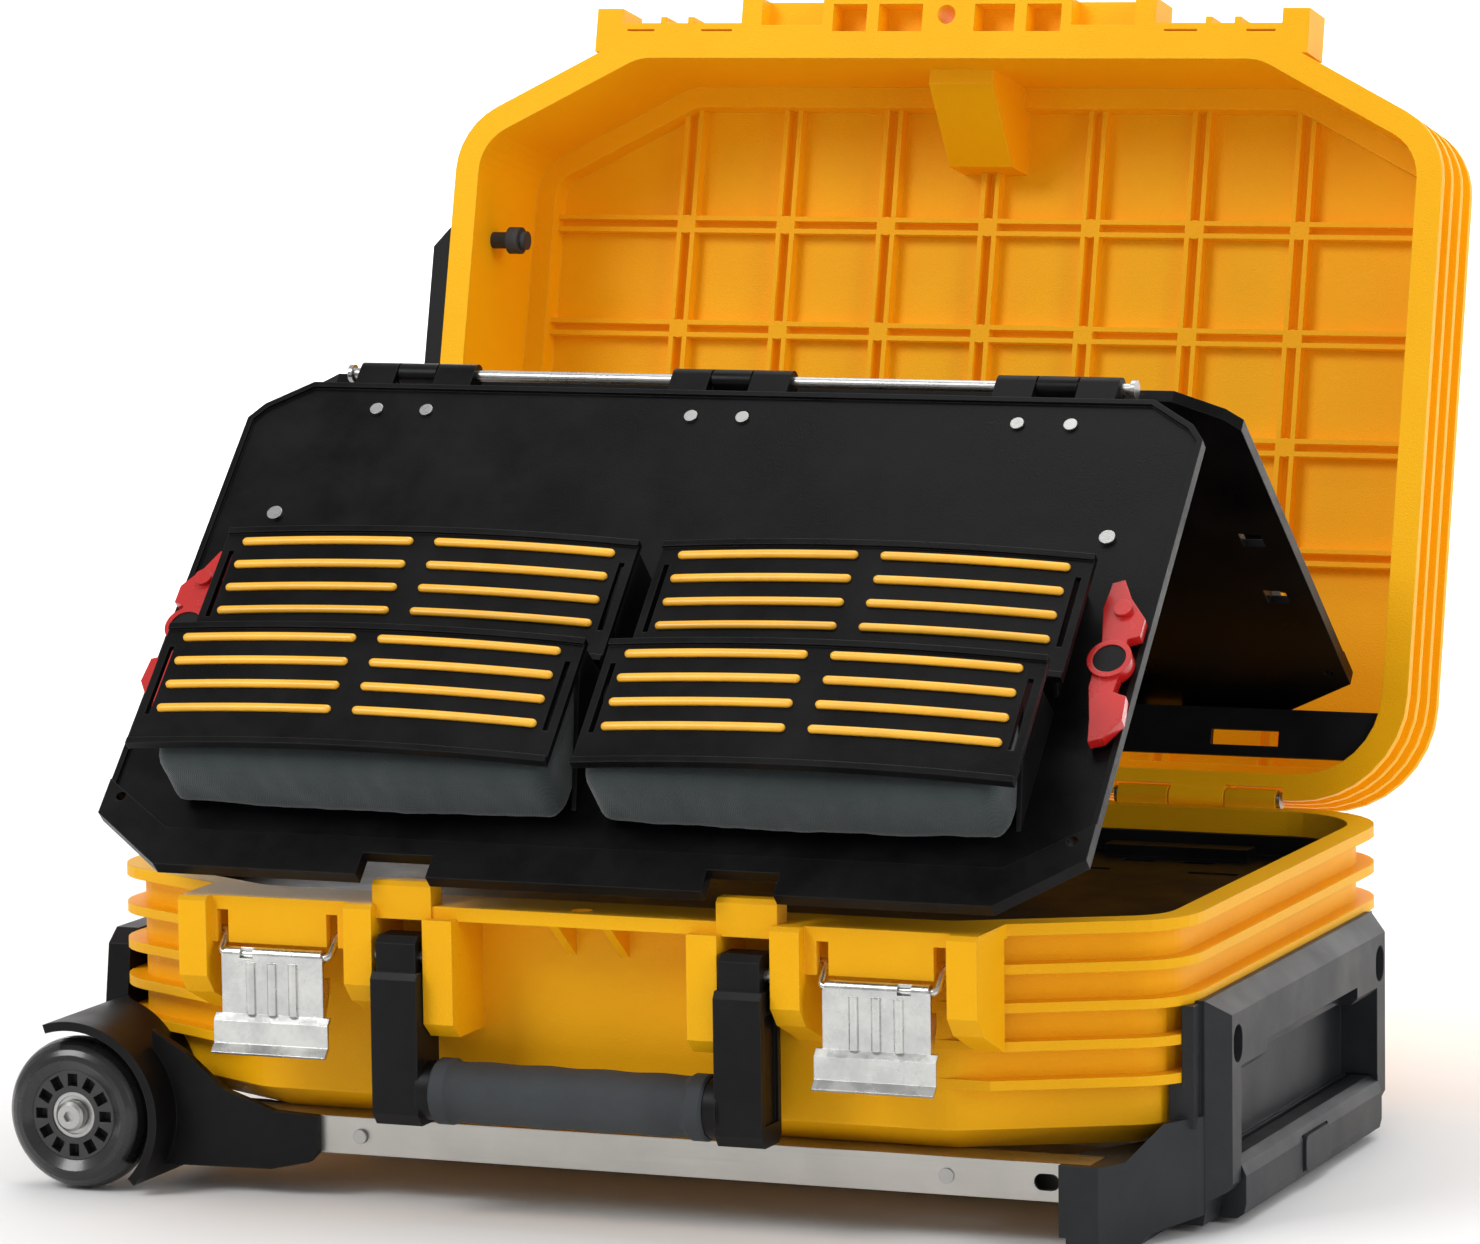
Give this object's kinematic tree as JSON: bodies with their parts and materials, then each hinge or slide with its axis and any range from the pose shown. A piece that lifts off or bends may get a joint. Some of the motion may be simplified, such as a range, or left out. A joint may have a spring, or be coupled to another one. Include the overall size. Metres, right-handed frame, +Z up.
{
  "type": "rolling tool case",
  "caption": "Rolling hard tool case with a hinged lid, folding organiser panels with pocket plates, carry handle, over-centre latches, wheels and a pull handle",
  "frame": {"origin": "centre of the bounding box in plan, at floor level (wheel bottoms and the foot of the pull-handle housing)", "axes": "+X from the wheels to the pull-handle end, +Y from the latches to the lid hinge, +Z up"},
  "size_m": [0.5318, 0.5526, 0.497],
  "materials": {
    "yellow_shell": "fine leather-grain moulding",
    "black_plastic": "satin moulding",
    "charcoal_plastic": "fine sparked texture",
    "steel": "turned, bright",
    "plated_steel": "zinc plated sheet and wire",
    "aluminium": "extruded, anodised",
    "wheel_tread": "glossy moulded tread",
    "wheel_hub": "gloss moulding",
    "yellow_strip": "smooth moulding",
    "pouch_fabric": "woven nylon",
    "red_plastic": "smooth moulding",
    "grip_rubber": "soft moulded rubber"
  },
  "bodies": {
    "case": {"tub": "yellow_shell", "tray": "black_plastic", "hinge_pins": "steel", "wheel_bracket_front": "black_plastic", "wheel_bracket_rear": "black_plastic", "end_plate": "black_plastic", "axle_front": "steel", "axle_rear": "steel", "rail_front": "aluminium", "rail_rear": "aluminium", "rail_studs": "steel", "guide_tubes": "aluminium", "handle_housing": "charcoal_plastic", "housing_screws": "steel", "carry_pins": "steel"},
    "lid": {"lid": "yellow_shell", "lid_bumper": "black_plastic", "lid_stopper": "grip_rubber", "side_latch": "black_plastic", "foot_bar": "black_plastic"},
    "wheel_front": {"tyre_front": "wheel_tread", "hub_front": "wheel_hub", "bearings_front": "steel"},
    "wheel_rear": {"tyre_rear": "wheel_tread", "hub_rear": "wheel_hub", "bearings_rear": "steel"},
    "pull": {"pull_tubes": "aluminium", "pull_grip": "charcoal_plastic"},
    "button": {"release_button": "charcoal_plastic"},
    "carry": {"carry_frame": "black_plastic", "carry_grip": "grip_rubber"},
    "bail_left": {"latch_bail_left": "plated_steel"},
    "bail_right": {"latch_bail_right": "plated_steel"},
    "lever_left": {"latch_lever_left": "plated_steel"},
    "lever_right": {"latch_lever_right": "plated_steel"},
    "organiser_front": {"front_panel": "black_plastic", "panel_pin": "steel", "front_struts": "black_plastic", "front_plates": "black_plastic", "front_strips": "yellow_strip", "front_pouches": "pouch_fabric", "clip_caps": "black_plastic", "front_rivets": "steel"},
    "organiser_rear": {"rear_panel": "black_plastic", "rear_struts": "black_plastic", "rear_plates": "black_plastic", "rear_strips": "yellow_strip", "rear_pouches": "pouch_fabric", "rear_rivets": "steel"},
    "clip_left": {"clip_left": "red_plastic"},
    "clip_right": {"clip_right": "red_plastic"}
  },
  "joints": [
    {"name": "lid_hinge", "type": "hinge", "parent": "case", "child": "lid", "pos_m": [0.0046, 0.1136, 0.136], "axis": [1, 0, 0], "range_deg": [0, 103.7]},
    {"name": "organiser_swing", "type": "hinge", "parent": "case", "child": "organiser_front", "pos_m": [0.0046, -0.2644, 0.1415], "axis": [1, 0, 0], "range_deg": [0, 162.5]},
    {"name": "panel_hinge", "type": "hinge", "parent": "organiser_front", "child": "organiser_rear", "pos_m": [0.0046, -0.07268, 0.33865], "axis": [1, 0, 0], "range_deg": [-95.2, 0]},
    {"name": "carry_handle", "type": "hinge", "parent": "case", "child": "carry", "pos_m": [0.0046, -0.2594, 0.112], "axis": [1, 0, 0], "range_deg": [-100, 0]},
    {"name": "bail_left", "type": "hinge", "parent": "case", "child": "bail_left", "pos_m": [-0.1314, -0.2524, 0.118], "axis": [1, 0, 0], "range_deg": [-70, 0]},
    {"name": "bail_right", "type": "hinge", "parent": "case", "child": "bail_right", "pos_m": [0.1406, -0.2524, 0.118], "axis": [1, 0, 0], "range_deg": [-70, 0]},
    {"name": "lever_left", "type": "hinge", "parent": "bail_left", "child": "lever_left", "pos_m": [-0.1314, -0.2614, 0.109], "axis": [1, 0, 0], "range_deg": [-35, 0]},
    {"name": "lever_right", "type": "hinge", "parent": "bail_right", "child": "lever_right", "pos_m": [0.1406, -0.2614, 0.109], "axis": [1, 0, 0], "range_deg": [-35, 0]},
    {"name": "wheel_front", "type": "hinge", "parent": "case", "child": "wheel_front", "pos_m": [-0.2329, -0.2439, 0.033], "axis": [0, 1, 0], "continuous": true},
    {"name": "wheel_rear", "type": "hinge", "parent": "case", "child": "wheel_rear", "pos_m": [-0.2329, 0.1336, 0.033], "axis": [0, 1, 0], "continuous": true},
    {"name": "pull_handle", "type": "slide", "parent": "case", "child": "pull", "axis": [1, 0, 0], "range_m": [0, 0.33]},
    {"name": "release_button", "type": "slide", "parent": "pull", "child": "button", "axis": [-1, 0, 0], "range_m": [0, 0.0025], "stiffness_N_per_m": 300},
    {"name": "clip_left", "type": "hinge", "parent": "organiser_front", "child": "clip_left", "pos_m": [-0.2064, -0.18365, 0.23315], "axis": [0, -0.7169, 0.6972], "range_deg": [-12, 25]},
    {"name": "clip_right", "type": "hinge", "parent": "organiser_front", "child": "clip_right", "pos_m": [0.2156, -0.18365, 0.23315], "axis": [0, -0.7169, 0.6972], "range_deg": [-25, 12]}
  ],
  "couplings": [
    {"joint": "organiser_swing", "follows": "lid_hinge", "ratio": 1.5622},
    {"joint": "panel_hinge", "follows": "lid_hinge", "ratio": -0.917}
  ]
}
